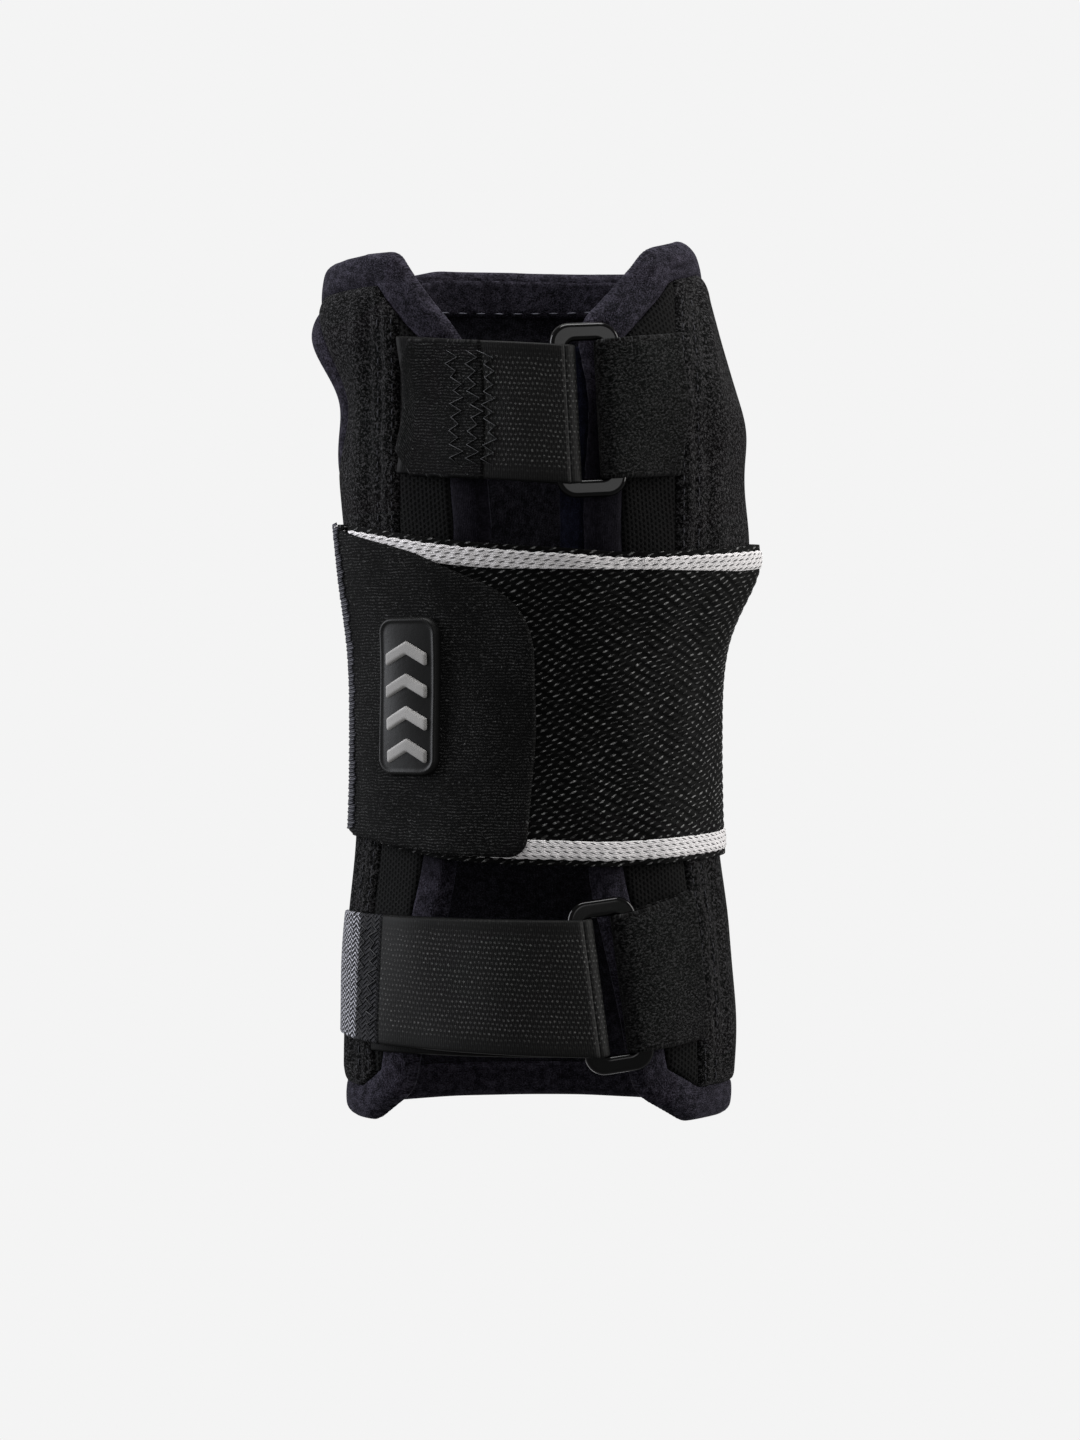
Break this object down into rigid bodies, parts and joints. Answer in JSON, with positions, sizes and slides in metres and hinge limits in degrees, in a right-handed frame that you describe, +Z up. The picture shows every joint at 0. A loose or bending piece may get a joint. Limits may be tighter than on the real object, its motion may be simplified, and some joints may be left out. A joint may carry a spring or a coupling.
{
  "type": "wrist guard",
  "caption": "Open-fronted sleeve wrist guard with thumb hole, stiff stays, two ring-and-strap closures and a wide wrist band with a hook tab.",
  "frame": {"origin": "middle of the guard's footprint at the bottom rim", "axes": "+Z up the forearm axis towards the hand end, -Y towards the open front, +X towards the little-finger side"},
  "size_m": [0.1054, 0.0702, 0.207],
  "materials": {
    "jersey": "smooth knit binding",
    "shell": "jersey-faced foam sheet",
    "lining": "smooth bluish lining",
    "mesh": "knitted spacer mesh",
    "loop": "brushed loop pile",
    "stay_metal": "flat bent strip",
    "ring_plastic": "glossy moulded",
    "webbing": "loop-faced tape",
    "hook_tape": "fine ribbed hook tape",
    "elastic": "coarse woven elastic",
    "badge": "moulded, satin",
    "badge_mark": "raised marks"
  },
  "bodies": {
    "guard": {"left_edge_binding": "jersey", "right_edge_binding": "jersey", "palm_bottom_binding": "jersey", "palm_top_binding": "jersey", "thumb_hole_binding": "jersey", "thumb_side_panel": "shell", "left_front_panel": "shell", "little_finger_side_panel": "shell", "right_front_panel": "shell", "palm_panel": "shell", "right_lining_edge": "lining", "left_front_mesh": "mesh", "right_front_mesh": "mesh", "left_stay_pocket": "loop", "right_stay_pocket": "loop", "palm_splint_pocket": "loop", "upper_ring_tab_under": "loop", "upper_ring_tab_fold": "loop", "upper_ring_tab_over": "loop", "lower_ring_tab_under": "loop", "lower_ring_tab_fold": "loop", "lower_ring_tab_over": "loop", "left_stay": "stay_metal", "right_stay": "stay_metal", "palm_splint": "stay_metal", "wrist_band": "elastic"},
    "upper_ring": {"upper_ring": "ring_plastic"},
    "upper_strap": {"upper_strap_leg": "webbing", "upper_strap_fold": "webbing"},
    "upper_strap_end": {"upper_strap_return": "webbing", "upper_hook_tab": "hook_tape"},
    "lower_ring": {"lower_ring": "ring_plastic"},
    "lower_strap": {"lower_strap_leg": "webbing", "lower_strap_fold": "webbing"},
    "lower_strap_end": {"lower_strap_return": "webbing", "lower_hook_tab": "hook_tape"},
    "wrist_band_end": {"wrist_band_end": "elastic"},
    "wrist_tab": {"wrist_hook_tab": "hook_tape", "badge_plate": "badge", "badge_bars": "badge_mark"}
  },
  "joints": [
    {"name": "upper_ring_tilt", "type": "hinge", "parent": "guard", "child": "upper_ring", "pos_m": [0.01838, -0.02898, 0.16732], "axis": [-0.053, 0.0013, 0.9986], "range_deg": [0, 2.8]},
    {"name": "upper_strap_lift", "type": "hinge", "parent": "guard", "child": "upper_strap", "pos_m": [-0.0307, -0.0178, 0.168], "axis": [0, 0, -1], "range_deg": [0, 0.9], "deforming": ["upper_strap_fold"]},
    {"name": "upper_strap_open", "type": "hinge", "parent": "upper_strap", "child": "upper_strap_end", "pos_m": [0.00711, -0.03059, 0.16673], "axis": [-0.053, 0.0013, 0.9986], "range_deg": [0, 130]},
    {"name": "lower_ring_tilt", "type": "hinge", "parent": "guard", "child": "lower_ring", "pos_m": [0.02343, -0.02791, 0.03425], "axis": [-0.1318, 0.0271, 0.9909], "range_deg": [0, 1.8]},
    {"name": "lower_strap_lift", "type": "hinge", "parent": "guard", "child": "lower_strap", "pos_m": [-0.0355, -0.0134, 0.032], "axis": [0, 0, -1], "range_deg": [0, 0.45], "deforming": ["lower_strap_fold"]},
    {"name": "lower_strap_open", "type": "hinge", "parent": "lower_strap", "child": "lower_strap_end", "pos_m": [0.01244, -0.03059, 0.03286], "axis": [-0.1318, 0.0271, 0.9909], "range_deg": [0, 130]},
    {"name": "wrist_band_swing", "type": "hinge", "parent": "guard", "child": "wrist_band_end", "pos_m": [-0.0425, 0.0165, 0.105], "axis": [0, 0, -1], "range_deg": [0, 60]},
    {"name": "wrist_tab_open", "type": "hinge", "parent": "wrist_band_end", "child": "wrist_tab", "pos_m": [-0.0487, -0.0015, 0.103], "axis": [0, 0, -1], "range_deg": [0, 120]}
  ],
  "couplings": [
    {"joint": "upper_strap_lift", "follows": "upper_ring_tilt", "ratio": 0.32},
    {"joint": "lower_strap_lift", "follows": "lower_ring_tilt", "ratio": 0.245}
  ]
}
